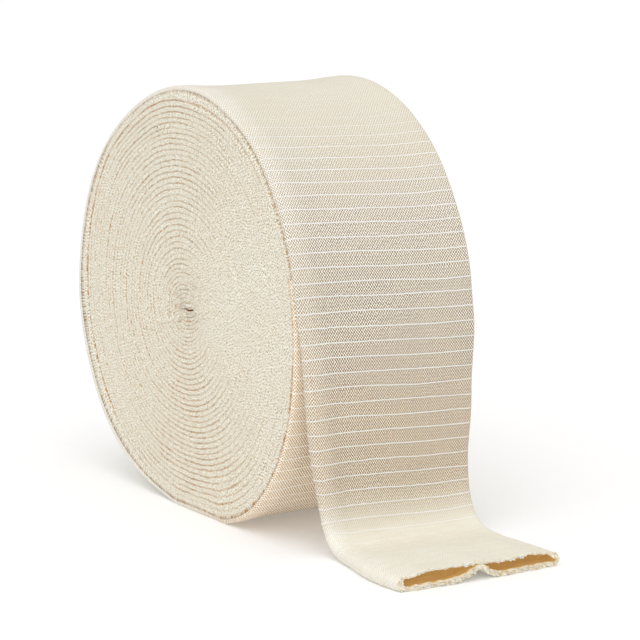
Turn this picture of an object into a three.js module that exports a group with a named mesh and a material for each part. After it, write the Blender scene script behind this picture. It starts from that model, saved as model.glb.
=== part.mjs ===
// Tubular gauze bandage: a flat knitted tube wound into a soft roll, with its loose end
// hanging from the front of the roll and lying on the floor, open at the cut mouth.
// Millimetres. +Z is up, +Y is the axis of the roll and +X is the way the loose end runs.
// The origin is on the floor, below the middle of the roll.
import * as THREE from 'three';

// the flat tube
const bandageWidth = 75.4;
const turnPitch = 2.2;
const clothWall = 1.1;
const touchGap = 0.3;

// the roll, from about 38 turns of that pitch
const roll = {
  radius: 84,
  centreHeight: 78.9,
  footSink: 1.8,
  footBlend: 20,
  angleSteps: 96,
  leaveAngle: 9,
  stepAngle: 0.4,
  faceDimple: 1.6,
  dimpleReach: 8,
  waistDip: 1.0,
};

// how the soft roll sags out of round: shares of the radius for each wave around it
const sagWaves = [
  { order: 2, cosine: 0.0308, sine: -0.0027 },
  { order: 3, cosine: -0.0181, sine: -0.0222 },
  { order: 4, cosine: -0.0109, sine: 0.0032 },
  { order: 5, cosine: 0.0013, sine: 0.0047 },
];

// rings on a face of the roll, as shares of the way from its centre to the rim
const faceShares = [0.07, 0.16, 0.32, 0.52, 0.72, 0.88];

// the rim and half of the outer skin: how far in from the skin, how far in from the face,
// and the share of the waist dip there
const rimRings = [
  { inset: 3.2, depth: 0, dip: 0 },
  { inset: 1.2, depth: 0.05, dip: 0 },
  { inset: 0.35, depth: 0.45, dip: 0 },
  { inset: 0, depth: 1.7, dip: 0 },
  { inset: 0, depth: 4.5, dip: 0.1 },
  { inset: 0, depth: 10, dip: 0.6 },
  { inset: 0, depth: 20, dip: 1 },
];

// the loose end, from the roll to its mouth: where each folded edge runs, and how thick
// the flattened tube is at the near edge, in the middle and at the far edge
const looseEndColumns = [
  'run', 'nearX', 'nearY', 'nearZ', 'farX', 'farY', 'farZ', 'nearThick', 'midThick', 'farThick',
];
const looseEndTable = [
  [0, 82.97, -37.7, 92.04, 82.97, 37.7, 92.04, 1.9, 1.9, 1.9],
  [12, 85.2, -37.5, 80.3, 84.7, 37.6, 80.3, 2.5, 2.2, 2.2],
  [22, 86.8, -37.0, 70.5, 84.9, 37.2, 70.4, 3.6, 2.8, 2.7],
  [42, 88.8, -36.0, 50.6, 84.5, 36.6, 50.4, 5.2, 3.4, 3.8],
  [62, 90.2, -34.4, 30.8, 84.3, 35.6, 30.6, 5.6, 3.6, 4.6],
  [74, 91.0, -32.6, 19.0, 85.8, 34.9, 18.8, 5.4, 3.6, 4.6],
  [82, 92.2, -31.4, 11.2, 89.0, 34.5, 11.6, 4.8, 3.6, 4.2],
  [88, 95.0, -30.8, 6.0, 93.0, 34.2, 7.2, 4.6, 3.6, 4.0],
  [94, 100.2, -30.8, 3.2, 98.4, 34.0, 4.0, 4.8, 3.8, 4.0],
  [106, 112.0, -32.4, 2.5, 110.0, 33.8, 2.3, 5.0, 5.6, 4.6],
  [120, 125.6, -34.8, 2.6, 122.8, 34.2, 2.5, 5.2, 7.0, 5.0],
  [132, 137.2, -35.0, 2.75, 134.0, 34.8, 2.65, 5.5, 7.5, 5.3],
  [141, 145.6, -34.0, 2.9, 143.4, 35.2, 2.8, 5.8, 7.8, 5.6],
];
const looseEnd = {
  stations: 36,
  bendFrom: 66,
  bendTo: 104,
  sideSteps: 14,
  foldSteps: 6,
  foldReach: 0.17,
  farLobeDrop: 0.03,
  cavityFrom: 30,
  mouthBow: 1.4,
};

// the crease in the middle of the mouth, where the lower layer lifts to meet the upper one
const crease = {
  place: 0.53,
  nearReach: 0.13,
  farReach: 0.085,
  length: 34,
  lift: 2.1,
  thick: 2.9,
};

const clothColour = new THREE.Color().setRGB(0.86, 0.82, 0.73, THREE.SRGBColorSpace);

const smooth = (value) => THREE.MathUtils.smoothstep(value, 0, 1);
const radians = THREE.MathUtils.degToRad;

// one closed body from rings of points, each ring running the same way round;
// the first and last rings are closed by a fan to the given end points
function ringBody(rings, firstEnd, lastEnd) {
  const count = rings[0].length;
  const points = [...rings.flat(), firstEnd, lastEnd];
  const first = points.length - 2;
  const last = points.length - 1;
  const faces = [];
  for (let ring = 0; ring + 1 < rings.length; ring++) {
    for (let i = 0; i < count; i++) {
      const a = ring * count + i;
      const b = ring * count + ((i + 1) % count);
      faces.push(a, b, b + count, a, b + count, a + count);
    }
  }
  const lastRing = (rings.length - 1) * count;
  for (let i = 0; i < count; i++) {
    const next = (i + 1) % count;
    faces.push(first, next, i);
    faces.push(last, lastRing + i, lastRing + next);
  }
  const geometry = new THREE.BufferGeometry().setFromPoints(points);
  geometry.setIndex(faces);
  geometry.computeVertexNormals();
  return geometry;
}

function clothMesh(name, geometry) {
  const material = new THREE.MeshStandardMaterial({ color: clothColour, roughness: 0.95, metalness: 0 });
  const mesh = new THREE.Mesh(geometry, material);
  mesh.name = name;
  return mesh;
}

// radius of the sagged roll at an angle from +X, without the spiral
function saggedRadius(angle) {
  const share = sagWaves.reduce(
    (sum, wave) => sum + wave.cosine * Math.cos(wave.order * angle) + wave.sine * Math.sin(wave.order * angle),
    0,
  );
  return roll.radius * (1 + share);
}

// a point of the roll, lowered a little so that its foot is flat on the floor
function rollPoint(angle, radius, across) {
  const x = radius * Math.cos(angle);
  const height = roll.centreHeight + radius * Math.sin(angle);
  const lowered = ((height - roll.footSink) * roll.footBlend) / (roll.footBlend - roll.footSink);
  return new THREE.Vector3(x, across, height < roll.footBlend ? Math.max(0, lowered) : height);
}

// the roll: two flat faces with a dimple at the centre, soft rims, and an outer skin whose
// radius falls by one turn all the way round and steps back where the loose end leaves
function woundRoll() {
  const half = bandageWidth / 2;
  const leave = radians(roll.leaveAngle);
  const step = radians(roll.stepAngle);
  const turns = [];
  for (let i = 0; i <= roll.angleSteps; i++) {
    const share = i / roll.angleSteps;
    turns.push({ angle: leave + share * (2 * Math.PI - step), skin: turnPitch * (0.5 - share) });
  }
  const ringAt = (place) => turns.map((turn) => place(turn, saggedRadius(turn.angle)));
  const faceRings = (side) => faceShares.map((share) => ringAt((turn, radius) => {
    const reach = share * (radius - rimRings[0].inset - turnPitch);
    const dimple = roll.faceDimple * Math.exp(-((reach / roll.dimpleReach) ** 2));
    return rollPoint(turn.angle, reach, side * (half - dimple));
  }));
  const skinRings = (side) => rimRings.map((rim) => ringAt((turn, radius) => {
    const height = roll.centreHeight + radius * Math.sin(turn.angle);
    const dip = roll.waistDip * rim.dip * smooth((height - 2) / 25);
    return rollPoint(turn.angle, radius + turn.skin - rim.inset - dip, side * (half - rim.depth));
  }));
  const rings = [
    ...faceRings(1),
    ...skinRings(1),
    ...skinRings(-1).reverse(),
    ...faceRings(-1).reverse(),
  ];
  const centre = half - roll.faceDimple;
  return ringBody(rings, rollPoint(0, 0, centre), rollPoint(0, 0, -centre));
}

const looseEndSpline = new THREE.CubicInterpolant(
  looseEndTable.map((row) => row[0]),
  looseEndTable.flat(),
  looseEndColumns.length,
);

// the edges, thicknesses and running direction of the loose end at one place along it
function stationAt(run) {
  const values = Array.from(looseEndSpline.evaluate(run));
  const station = Object.fromEntries(looseEndColumns.map((column, i) => [column, values[i]]));
  station.near = new THREE.Vector3(station.nearX, station.nearY, station.nearZ);
  station.far = new THREE.Vector3(station.farX, station.farY, station.farZ);
  return station;
}

// share of the mouth's crease at a place along and across the loose end
function creaseShare(run, across) {
  const along = smooth((run - (looseEndLength - crease.length)) / crease.length);
  const reach = across < crease.place ? crease.nearReach : crease.farReach;
  return along * Math.exp(-(((across - crease.place) / reach) ** 2));
}

const looseEndLength = looseEndTable.at(-1)[0];

// one loop round the flattened tube, shrunk by an inset for the inside of its wall:
// along the outer layer, round the far fold, back along the lower layer, round the near fold
function tubeLoop(run, inset) {
  const station = stationAt(run);
  const before = stationAt(Math.max(0, run - 1));
  const after = stationAt(Math.min(looseEndLength, run + 1));
  const width = station.far.clone().sub(station.near);
  const span = width.length();
  const side = width.clone().normalize();
  const nearRadius = station.nearThick / 2;
  const farRadius = station.farThick / 2;
  const bow = looseEnd.mouthBow * smooth((run - 110) / 30);

  const frameAt = (across) => {
    const place = (from) => from.near.clone().lerp(from.far, across);
    const along = place(after).sub(place(before)).normalize();
    const normal = along.clone().cross(side).normalize();
    const centre = station.near.clone().addScaledVector(side, nearRadius + (span - nearRadius - farRadius) * across);
    centre.addScaledVector(along, bow * 4 * across * (1 - across));
    return { centre, normal };
  };
  const layerPoint = (across, upper) => {
    const { centre, normal } = frameAt(across);
    const nearShare = 1 - smooth(across / looseEnd.foldReach);
    const farShare = 1 - smooth((1 - across) / looseEnd.foldReach);
    const share = creaseShare(run, across);
    const middle = station.midThick * (1 - looseEnd.farLobeDrop * across);
    const open = middle + (station.nearThick - middle) * nearShare + (station.farThick - middle) * farShare;
    const thick = THREE.MathUtils.lerp(open, crease.thick, share);
    const base = crease.lift * share - THREE.MathUtils.lerp(nearRadius, farRadius, across);
    return centre.addScaledVector(normal, upper ? base + thick - inset : base + inset);
  };
  const foldPoint = (across, radius, turn) => {
    const { centre, normal } = frameAt(across);
    const reach = radius - inset;
    const outward = across === 0 ? -1 : 1;
    centre.addScaledVector(side, outward * reach * Math.sin(turn));
    return centre.addScaledVector(normal, reach * Math.cos(turn));
  };

  const loop = [];
  for (let i = 0; i < looseEnd.sideSteps; i++) {
    loop.push(layerPoint(i / looseEnd.sideSteps, true));
  }
  for (let i = 0; i < looseEnd.foldSteps; i++) {
    loop.push(foldPoint(1, farRadius, (Math.PI * i) / looseEnd.foldSteps));
  }
  for (let i = 0; i < looseEnd.sideSteps; i++) {
    loop.push(layerPoint(1 - i / looseEnd.sideSteps, false));
  }
  for (let i = 0; i < looseEnd.foldSteps; i++) {
    loop.push(foldPoint(0, nearRadius, Math.PI - (Math.PI * i) / looseEnd.foldSteps));
  }
  loop.forEach((point) => { point.z = Math.max(point.z, inset); });
  return loop;
}

// places along the loose end, twice as close together through the bend at the floor
function looseEndRuns() {
  const density = (run) => (run > looseEnd.bendFrom && run < looseEnd.bendTo ? 2 : 1);
  const runs = [];
  let total = 0;
  for (let run = 0; run < looseEndLength; run++) {
    total += density(run);
  }
  const stride = total / looseEnd.stations;
  let travelled = 0;
  for (let run = 0; run < looseEndLength; run++) {
    if (travelled >= stride * runs.length) {
      runs.push(run);
    }
    travelled += density(run);
  }
  return [...runs, looseEndLength];
}

// the loose end: the inside of the tube from where its two layers come together to the
// mouth, and back along the outside to the roll
function looseEndTube() {
  const startRun = touchGap + 0.6;
  const runs = looseEndRuns().map((run) => Math.max(run, startRun));
  const inner = runs.filter((run) => run >= looseEnd.cavityFrom);
  const outside = runs.map((run) => tubeLoop(run, 0)).reverse();
  const inside = inner.map((run) => tubeLoop(run, clothWall));
  const middle = (loop) => loop.reduce((sum, point) => sum.add(point), new THREE.Vector3()).divideScalar(loop.length);
  return ringBody([...inside, ...outside], middle(inside[0]), middle(outside.at(-1)));
}

const bandage = new THREE.Group();
bandage.add(clothMesh('wound_roll', woundRoll()));
bandage.add(clothMesh('loose_end', looseEndTube()));

export default bandage;
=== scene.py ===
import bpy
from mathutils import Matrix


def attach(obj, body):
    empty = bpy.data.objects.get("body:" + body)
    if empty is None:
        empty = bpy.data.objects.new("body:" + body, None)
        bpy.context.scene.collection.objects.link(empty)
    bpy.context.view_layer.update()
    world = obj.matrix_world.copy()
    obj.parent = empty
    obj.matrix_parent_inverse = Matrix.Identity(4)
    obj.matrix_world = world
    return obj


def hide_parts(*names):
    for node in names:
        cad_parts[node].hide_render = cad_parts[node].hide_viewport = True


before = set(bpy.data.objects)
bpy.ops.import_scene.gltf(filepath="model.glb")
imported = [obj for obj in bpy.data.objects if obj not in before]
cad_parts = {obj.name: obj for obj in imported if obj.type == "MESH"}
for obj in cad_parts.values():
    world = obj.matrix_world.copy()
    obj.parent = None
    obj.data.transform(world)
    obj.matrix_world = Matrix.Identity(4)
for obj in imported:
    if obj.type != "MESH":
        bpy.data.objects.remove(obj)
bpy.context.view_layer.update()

from types import SimpleNamespace
import bpy
import numpy as np
from mathutils import Matrix, Vector

# Tubular gauze bandage: a flat knitted tube wound into a soft roll, its loose end hanging from
# the front and lying on the floor. Shapes are worked out in millimetres: +Z up, +Y the axis of
# the roll, +X the way the loose end runs. A mesh is put into metres as it is made.
mm = 0.001
turn = 2 * np.pi


# numbers and curves that the pieces share
cloth = {
    "width": 75.4,        # of the flat tube
    "thickness": 2.1,     # of its two layers, wound
    "wall": 1.0,          # of one layer
    "threadStep": 5.45,   # between the raised elastic threads
    "threadPlace": 1.2,   # from the start of the hanging part to a thread
    "skew": (0.95, 1.5),  # how far the rows run ahead in the middle, and more so at the near fold
    "skewPlace": -1.7,    # where round the tube they run ahead most
    "course": 1.3625,     # one row of loops along the bandage, four to a thread
    "wale": 1.07,         # one column of loops round the tube
    "round": 154.08,      # the way round the tube, a whole number of wales
}

roll = {
    "radius": 84.0,
    "leaveAngle": np.radians(9.0),  # where the loose end leaves the roll
    "turnPitch": 2.2,
    "corePitch": 1.6,               # the turns are tighter near the middle
    "coreFrom": 12.0,
    "coreTo": 26.0,
    "coreRadius": 0.28,             # of the slit that the turns are wound on
    "slitStretch": 4.4,             # the innermost turns are squashed flat sideways
    "slitReach": 15.0,
    "slitPower": 1.4,
    "slitPlace": 0.3,               # the slit is bent down here
    "slitDrop": 1.1,
    "slitBend": (4.2, 3.0),         # how far that reaches sideways and outwards
    "footSink": 1.8,
    "footBlend": 20.0,
    "footDepth": 22.0,
    "waist": 1.0,                   # how far the cloth dips between its folds
    "overlap": 6.0 / 360,           # how far the outer turn starts under itself
    "gridSteps": 4000,
}
# the sag of the soft roll: waves around it, share of the radius by cosine and by sine, and the
# power of the radius by which it fades inwards
sagWaves = (
    (2, 0.0308, -0.0027, 0.4), (3, -0.0181, -0.0222, 1.3),
    (4, -0.0109, 0.0032, 1.0), (5, 0.0013, 0.0047, 6.0),
)
# where the rings are centred: ring radius, x, height
ringCentres = np.array([
    (0, 0.9, 77.7), (8, 0.9, 77.9), (16, -0.2, 77.9), (25, -1.4, 78.0),
    (45, -1.6, 78.9), (65, -1.9, 79.5), (84, 0, 78.9), (90, 0, 78.9),
])
# the outer turns at the near face, by angle: how much further in than evenly wound the first
# three gaps lie, how far the outermost fold stands out, how far its edge is drawn back, and how
# open the first two gaps look
rimTable = np.array([
    (9, 0.0, 0.0, 0.0, 0.0, 0.0, 0.80, 0.30),
    (27, 0.9, 1.2, 1.0, 0.0, 0.4, 0.55, 0.35),
    (44, 0.7, 1.6, 1.4, 0.0, 0.4, 0.35, 0.60),
    (60, 0.3, 1.1, 1.4, 0.0, 0.5, 0.22, 0.95),
    (82, 0.3, 1.7, 1.8, 0.0, 0.6, 0.06, 1.00),
    (101, 0.1, 0.8, 1.2, 0.0, 0.5, 0.06, 1.00),
    (120, 0.1, 1.1, 1.4, 0.1, 0.3, 0.50, 0.95),
    (140, -0.9, 0.2, 0.5, 1.1, 0.1, 0.60, 0.95),
    (159, -0.2, 1.4, 1.7, 1.4, 0.0, 0.60, 1.00),
    (182, 0.2, 2.8, 3.0, 1.5, 0.0, 0.55, 1.00),
    (205, 1.4, 4.3, 4.4, 1.4, 0.0, 0.45, 0.90),
    (230, 1.1, 2.8, 2.9, 0.8, 0.0, 0.25, 0.45),
    (258, 0.2, 0.5, 0.5, 0.1, 0.2, 0.45, 0.30),
    (300, 0.0, 0.1, 0.1, 0.0, 0.1, 0.60, 0.30),
    (369, 0.0, 0.0, 0.0, 0.0, 0.0, 0.80, 0.30),
])
firstIn, secondIn, thirdIn, foldOut, edgeBack, firstOpen, secondOpen = range(7)  # its columns past the angle
rimFade = (3, 13)  # in turns: where the shift of the outer turns begins to fade, and how far it takes
farRim = 0.6       # the far face has the same, turned over and this much as strong


# 0 below 0, 1 above 1, and 3 v squared less 2 v cubed between
def smooth(value):
    value = np.clip(value, 0, 1)
    return value * value * (3 - 2 * value)


def mix(first, second, share):
    return first + (second - first) * share


def unit(vectors):
    return vectors / np.linalg.norm(vectors, axis=-1, keepdims=True)


# lengths of a row of points, added up from 0
def wayAlong(points):
    return np.append(0, np.cumsum(np.linalg.norm(np.diff(points, axis=0), axis=1)))


# a smooth random line, about -1 to 1: the mean of sines with lengths near wave
def wobble(place, wave, seed, terms=7, spread=(0.55, 1.9), height=0.9):
    dice = np.random.default_rng(seed)
    lengths = wave * dice.uniform(*spread, terms)
    starts = dice.uniform(0, turn, terms)
    sines = np.sin(turn * np.asarray(place)[..., None] / lengths + starts)
    return sines.sum(-1) * height / np.sqrt(terms)


# a sum of such lines, each with its height and length, on seeds one after the other
def wobbles(place, table, seed):
    return sum(height * wobble(place, wave, seed + n) for n, (height, wave) in enumerate(table))


# a cubic through the knots, its slope at each taken across the knots on either side
def hermite(places, knots, values):
    slopes = np.empty_like(values)
    slopes[1:-1] = (values[2:] - values[:-2]) / (knots[2:] - knots[:-2])[:, None]
    slopes[0] = (values[1] - values[0]) / (knots[1] - knots[0]) * 1.5 - slopes[1] * 0.5
    slopes[-1] = (values[-1] - values[-2]) / (knots[-1] - knots[-2]) * 1.5 - slopes[-2] * 0.5
    i = np.clip(np.searchsorted(knots, places) - 1, 0, len(knots) - 2)
    step = (knots[i + 1] - knots[i])[..., None]
    t = (places - knots[i])[..., None] / step
    return (
        values[i] * (1 + 2 * t) * (1 - t) ** 2 + slopes[i] * step * t * (1 - t) ** 2
        + values[i + 1] * t * t * (3 - 2 * t) + slopes[i + 1] * step * t * t * (t - 1)
    )


# how the mean radius falls with each turn inwards: the pitch is added up from the skin
radiusGrid = np.linspace(roll["radius"] + roll["turnPitch"] / 2, roll["coreRadius"], roll["gridSteps"])
pitchGrid = mix(
    roll["corePitch"], roll["turnPitch"],
    smooth((radiusGrid - roll["coreFrom"]) / (roll["coreTo"] - roll["coreFrom"])),
)
depthGrid = np.append(0, np.cumsum(-np.diff(radiusGrid) * 2 / (pitchGrid[1:] + pitchGrid[:-1])))


# mean radius of the outer skin of the cloth, so many turns in from where it leaves
def turnRadius(depth):
    return np.interp(depth, depthGrid, radiusGrid)


# centre plus mean radius times one plus the sag waves, each fading inwards, and a flat bent slit
def ringPoint(angle, mean):
    inward = np.clip(mean / roll["radius"], 0.001, 1)
    sag = sum((c * np.cos(n * angle) + s * np.sin(n * angle)) * inward ** fade for n, c, s, fade in sagWaves)
    radius = mean * (1 + sag)
    stretch = roll["slitStretch"] * np.exp(-(np.maximum(mean, 0) / roll["slitReach"]) ** roll["slitPower"])
    centreX = np.interp(mean, ringCentres[:, 0], ringCentres[:, 1])
    centreZ = np.interp(mean, ringCentres[:, 0], ringCentres[:, 2])
    x = centreX + (radius + stretch) * np.cos(angle)
    z = centreZ + radius * np.sin(angle)
    sideways, outwards = roll["slitBend"]
    bend = np.clip(1 - np.abs(x - roll["slitPlace"]) / sideways, 0, 1)
    return x, z - roll["slitDrop"] * bend * np.exp(-mean / outwards)


# heights near the floor are lowered a little, so that the foot lies flat
def floorLine(height):
    sunk = (height - roll["footSink"]) * roll["footBlend"] / (roll["footBlend"] - roll["footSink"])
    return np.where(height < roll["footBlend"], np.maximum(0, sunk), height)


# how far the rows run ahead at a distance round the tube: a cosine, most at the near fold
def skewAt(place):
    return cloth["skew"][0] + cloth["skew"][1] * np.cos(turn * (place - cloth["skewPlace"]) / cloth["round"])


# mean radius of the evenly wound skin at an angle
def skinRadius(angle):
    return turnRadius(np.mod((angle - roll["leaveAngle"]) / turn, 1))


def turnsFromSkin(angle, mean):
    return (skinRadius(angle) - mean) / roll["turnPitch"]


# ringPoint, with the lowering of the skin at that angle carried some way inwards
def rollPoint(angle, mean):
    skinMean = skinRadius(angle)
    skinHeight = ringPoint(angle, skinMean)[1]
    drop = floorLine(skinHeight) - skinHeight
    x, z = ringPoint(angle, mean)
    return x, z + drop * (1 - smooth((skinMean - mean) / roll["footDepth"]))


# the rim table at an angle, as it is for the near face (-1) and turned over for the far face (1)
def rimAt(angle, facing):
    first, last = rimTable[0, 0], rimTable[-1, 0]
    degrees = first + np.mod(np.degrees(angle) - first, 360)
    if facing > 0:
        return hermite(first + last - degrees, rimTable[:, 0], rimTable[:, 1:]) * farRim
    return hermite(degrees, rimTable[:, 0], rimTable[:, 1:])


# how far a point of a face is moved inwards: between the three gaps of the rim table by a straight
# line, and fading out further in
def faceShift(angle, mean, facing):
    rim = rimAt(angle, facing)
    turnsIn = turnsFromSkin(angle, mean)
    early = mix(rim[..., firstIn], rim[..., secondIn], np.clip(turnsIn - 1, 0, 1))
    late = mix(early, rim[..., thirdIn], np.clip(turnsIn - 2, 0, 1))
    return late * (1 - smooth((turnsIn - rimFade[0]) / rimFade[1]))


# quads between neighbouring rows and columns of a grid, and the row and column of their corners
def gridQuads(rows, columns):
    r, c = np.meshgrid(np.arange(rows - 1), np.arange(columns), indexing="ij")
    cornerRow = np.stack([r, r + 1, r + 1, r], -1).reshape(-1, 4)
    cornerColumn = np.stack([c, c, c + 1, c + 1], -1).reshape(-1, 4)
    return cornerRow * columns + cornerColumn % columns, cornerRow, cornerColumn


# a smooth mesh from points in millimetres, faces with their corner UVs, and material numbers
def makePiece(name, points, faceSets, uvSets, materials, slots=None, tones=None):
    counts = np.concatenate([np.full(len(f), f.shape[1]) for f in faceSets])
    corners = np.concatenate([f.ravel() for f in faceSets]).astype(np.int32)
    mesh = bpy.data.meshes.new(name)
    mesh.vertices.add(len(points))
    mesh.vertices.foreach_set("co", (points * mm).astype(np.float32).ravel())
    mesh.loops.add(len(corners))
    mesh.loops.foreach_set("vertex_index", corners)
    mesh.polygons.add(len(counts))
    mesh.polygons.foreach_set("loop_start", np.append(0, np.cumsum(counts)[:-1]).astype(np.int32))
    mesh.update(calc_edges=True)
    mesh.polygons.foreach_set("use_smooth", np.ones(len(counts), bool))
    places = np.concatenate([u.ravel() for u in uvSets]).astype(np.float32)
    mesh.uv_layers.new(name="knit").data.foreach_set("uv", places)
    for material in materials:
        mesh.materials.append(material)
    if slots is not None:
        mesh.polygons.foreach_set("material_index", slots.astype(np.int32))
    # the painted shade of the gaps between turns, per point
    if tones is not None:
        tone = mesh.attributes.new("gapShade", "FLOAT", "POINT")
        tone.data.foreach_set("value", tones.astype(np.float32))
    mesh.validate()
    piece = bpy.data.objects.new(name, mesh)
    bpy.context.scene.collection.objects.link(piece)
    print("made", name, len(points), "points", int((counts - 2).sum()), "triangles")
    return piece


# a node group that takes the place as a vector, and else takes and gives numbers
def newGroup(name, inputs, outputs):
    group = bpy.data.node_groups.new(name, "ShaderNodeTree")
    group.interface.new_socket("Place", in_out="INPUT", socket_type="NodeSocketVector")
    for way, labels in (("INPUT", inputs), ("OUTPUT", outputs)):
        for label in labels:
            group.interface.new_socket(label, in_out=way, socket_type="NodeSocketFloat")
    return group, group.nodes.new("NodeGroupInput"), group.nodes.new("NodeGroupOutput")


# fills a socket with a value or a link
def fill(tree, socket, value):
    if isinstance(value, bpy.types.NodeSocket):
        tree.links.new(value, socket)
    else:
        socket.default_value = value


# adds a node, sets its properties, and fills its inputs by name, or by number where it is i0, i1
def put(tree, kind, settings=(), **links):
    node = tree.nodes.new("ShaderNode" + kind)
    for key, value in dict(settings).items():
        setattr(node, key, value)
    for key, value in links.items():
        numbered = key[0] == "i" and key[1:].isdigit()
        fill(tree, node.inputs[int(key[1:]) if numbered else key], value)
    return node


def sums(tree, operation, first, second=0.0, third=0.0):
    return put(tree, "Math", {"operation": operation}, i0=first, i1=second, i2=third).outputs[0]


def times(tree, first, second):
    return sums(tree, "MULTIPLY", first, second)


def plus(tree, first, second):
    return sums(tree, "ADD", first, second)


def lessHalf(tree, value):
    return sums(tree, "SUBTRACT", value, 0.5)


# a smooth step of value between low and high
def ramp(tree, value, low, high, toLow=0.0, toHigh=1.0):
    return put(tree, "MapRange", {"interpolation_type": "SMOOTHSTEP"},
               i0=value, i1=low, i2=high, i3=toLow, i4=toHigh).outputs[0]


# a colour between two, by share
def blend(tree, share, first, second):
    return put(tree, "Mix", {"data_type": "RGBA"}, i0=share, i6=first, i7=second).outputs[2]


# noise on the flat of the UV map, or in space
def noise(tree, place, scale, detail, flat=True):
    settings = {"noise_dimensions": "2D"} if flat else {}
    return put(tree, "TexNoise", settings, Vector=place, Scale=scale, Detail=detail).outputs


# a screen colour as the linear one that the shader takes
def shade(red, green, blue):
    values = np.array([red, green, blue]) / 255
    linear = np.where(values <= 0.04045, values / 12.92, ((values + 0.055) / 1.055) ** 2.4)
    return (*[float(v) for v in linear], 1.0)


# the cosine of a full turn times place over length
def cosine(tree, place, length):
    return sums(tree, "COSINE", times(tree, sums(tree, "DIVIDE", place, length), turn))


knitShape = {
    "waverScale": 520.0,            # of the noise that pushes the loops about
    "bendScale": 110.0,             # of the one that bends the threads, and how far, in metres
    "bend": 0.0005,
    "threadReach": (0.022, 0.054),  # half the width of a thread, in thread steps, full and faded out
    "streakScale": 75.0,
    "streakStretch": (9.0, 1.0, 1.0),
    "streakReach": (0.35, 0.65),
}


# Loops: half of one plus the cosine along the bandage, one course long, times the cosine round the
# tube, one wale long, so that loops and gaps stand in turn like the squares of a chequer. Rows mixes
# in the cosine along the bandage alone. Thread: a narrow band at every fourth course. Grain: fine
# fibre noise. Streak: rows a little lighter or darker than others, long across the bandage.
def buildKnitGroup():
    group, given, out = newGroup(
        "knitPattern", ("Course", "Wale", "Waver", "GrainScale", "Rows"),
        ("Loop", "Thread", "Grain", "Streak"))
    place, rowShare = given.outputs["Place"], given.outputs["Rows"]
    along, around = put(group, "SeparateXYZ", Vector=place).outputs[:2]
    along = sums(group, "SUBTRACT", along, cloth["threadPlace"] * mm)
    push = noise(group, place, knitShape["waverScale"], 1.0)["Color"]
    pushes = put(group, "SeparateColor", Color=push).outputs
    pushedAlong, pushedAround = (
        plus(group, way, times(group, lessHalf(group, pushes[n]), given.outputs["Waver"]))
        for n, way in enumerate((along, around)))
    rows = cosine(group, pushedAlong, given.outputs["Course"])
    chequer = times(group, rows, cosine(group, pushedAround, given.outputs["Wale"]))
    waves = plus(group, chequer, times(group, rows, rowShare))
    waves = sums(group, "DIVIDE", waves, plus(group, rowShare, 1.0))
    bends = noise(group, place, knitShape["bendScale"], 2.0)[0]
    bent = plus(group, along, times(group, lessHalf(group, bends), knitShape["bend"]))
    steps = plus(group, sums(group, "DIVIDE", bent, cloth["threadStep"] * mm), 0.5)
    away = sums(group, "ABSOLUTE", lessHalf(group, sums(group, "FRACT", steps)))
    longer = put(group, "VectorMath", {"operation": "MULTIPLY"}, i0=place, i1=knitShape["streakStretch"])
    streak = noise(group, longer.outputs[0], knitShape["streakScale"], 2.0)[0]
    for label, value in (
        ("Loop", sums(group, "MULTIPLY_ADD", waves, 0.5, 0.5)),
        ("Thread", ramp(group, away, *knitShape["threadReach"], 1.0, 0.0)),
        ("Grain", noise(group, place, given.outputs["GrainScale"], 2.0)[0]),
        ("Streak", ramp(group, streak, *knitShape["streakReach"])),
    ):
        group.links.new(value, out.inputs[label])
    return group


clothTone = {
    "scale": 38.0, "reach": (0.3, 0.7),
    "fleckCells": 52.0, "fleckShare": (0.80, 0.82), "fleckSize": (0.018, 0.030), "speck": (96, 74, 52),
}


# slow changes of tone over the cloth, and a few dark seed flecks: one in five of the cells has one
def buildToneGroup():
    group, given, out = newGroup("clothTone", (), ("Tone", "Fleck"))
    place = given.outputs["Place"]
    slow = noise(group, place, clothTone["scale"], 3.0, flat=False)[0]
    cells = put(group, "TexVoronoi", {"feature": "F1"}, Vector=place, Scale=clothTone["fleckCells"])
    chosen = put(group, "SeparateColor", Color=cells.outputs["Color"]).outputs[0]
    few = ramp(group, chosen, *clothTone["fleckShare"])
    close = ramp(group, cells.outputs["Distance"], *clothTone["fleckSize"], 1.0, 0.0)
    group.links.new(ramp(group, slow, *clothTone["reach"]), out.inputs["Tone"])
    group.links.new(times(group, few, close), out.inputs["Fleck"])
    return group


knitGroup = buildKnitGroup()
toneGroup = buildToneGroup()


def newMaterial(name):
    material = bpy.data.materials.new(name)
    material.use_nodes = True
    material.node_tree.nodes.clear()
    return material, material.node_tree


# the shader at the end of a material: bumps by height, and a matt finish with a little sheen
def putShader(tree, colour, height, bump, finish):
    strength, distance = bump
    relief = put(tree, "Bump", Strength=strength, Distance=distance, Height=height)
    shader = put(tree, "BsdfPrincipled",
                 **{"Base Color": colour, "Normal": relief.outputs[0], **finish})
    put(tree, "OutputMaterial", i0=shader.outputs[0])
    return shader
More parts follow.
